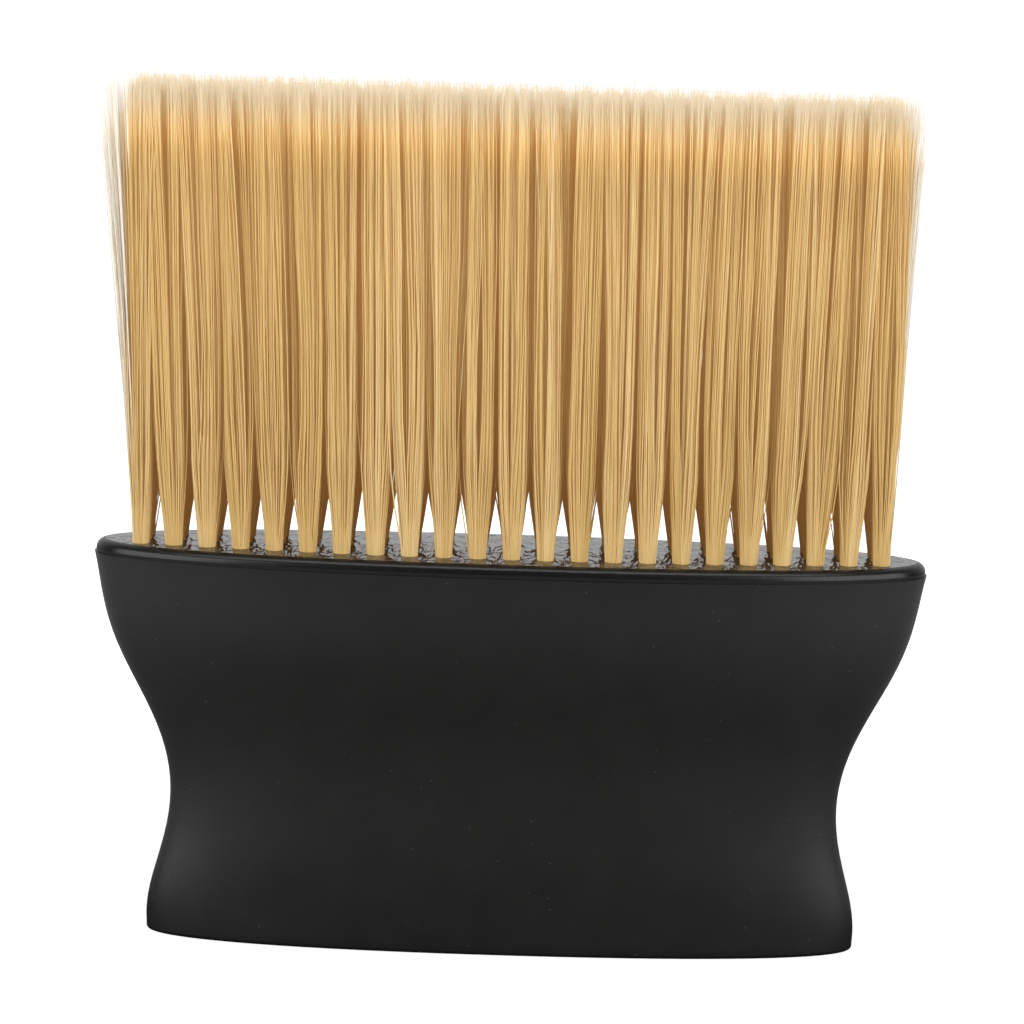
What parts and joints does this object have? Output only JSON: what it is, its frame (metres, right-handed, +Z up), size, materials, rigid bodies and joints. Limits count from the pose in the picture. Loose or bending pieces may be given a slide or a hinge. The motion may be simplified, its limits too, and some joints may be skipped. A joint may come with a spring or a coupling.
{
  "type": "neck duster brush",
  "caption": "Wide flat neck duster brush with a waisted black plastic handle and long soft beige bristle tufts set in an oval plate.",
  "frame": {"origin": "middle of the flat base that the brush stands on", "axes": "+Z up from the base to the bristle tips, +X along the width, -Y towards the front"},
  "size_m": [0.1398, 0.0284, 0.144],
  "materials": {
    "handle": "satin moulded",
    "cap": "satin moulded",
    "plate": "glossy moulded",
    "bristle": "soft synthetic filament",
    "anchor": "drawn flat wire"
  },
  "bodies": {
    "root": {"handle_sleeve": "handle", "bottom_cap": "cap", "tuft_plate": "plate", "tuft_column_01": "bristle", "tuft_column_02": "bristle", "tuft_column_03": "bristle", "tuft_column_04": "bristle", "tuft_column_05": "bristle", "tuft_column_06": "bristle", "tuft_column_07": "bristle", "tuft_column_08": "bristle", "tuft_column_09": "bristle", "tuft_column_10": "bristle", "tuft_column_11": "bristle", "tuft_column_12": "bristle", "tuft_column_13": "bristle", "tuft_column_14": "bristle", "tuft_column_15": "bristle", "tuft_column_16": "bristle", "tuft_column_17": "bristle", "tuft_column_18": "bristle", "tuft_column_19": "bristle", "tuft_column_20": "bristle", "tuft_column_21": "bristle", "tuft_column_22": "bristle", "tuft_column_23": "bristle", "anchor_column_01": "anchor", "anchor_column_02": "anchor", "anchor_column_03": "anchor", "anchor_column_04": "anchor", "anchor_column_05": "anchor", "anchor_column_06": "anchor", "anchor_column_07": "anchor", "anchor_column_08": "anchor", "anchor_column_09": "anchor", "anchor_column_10": "anchor", "anchor_column_11": "anchor", "anchor_column_12": "anchor", "anchor_column_13": "anchor", "anchor_column_14": "anchor", "anchor_column_15": "anchor", "anchor_column_16": "anchor", "anchor_column_17": "anchor", "anchor_column_18": "anchor", "anchor_column_19": "anchor", "anchor_column_20": "anchor", "anchor_column_21": "anchor", "anchor_column_22": "anchor", "anchor_column_23": "anchor"}
  },
  "joints": []
}
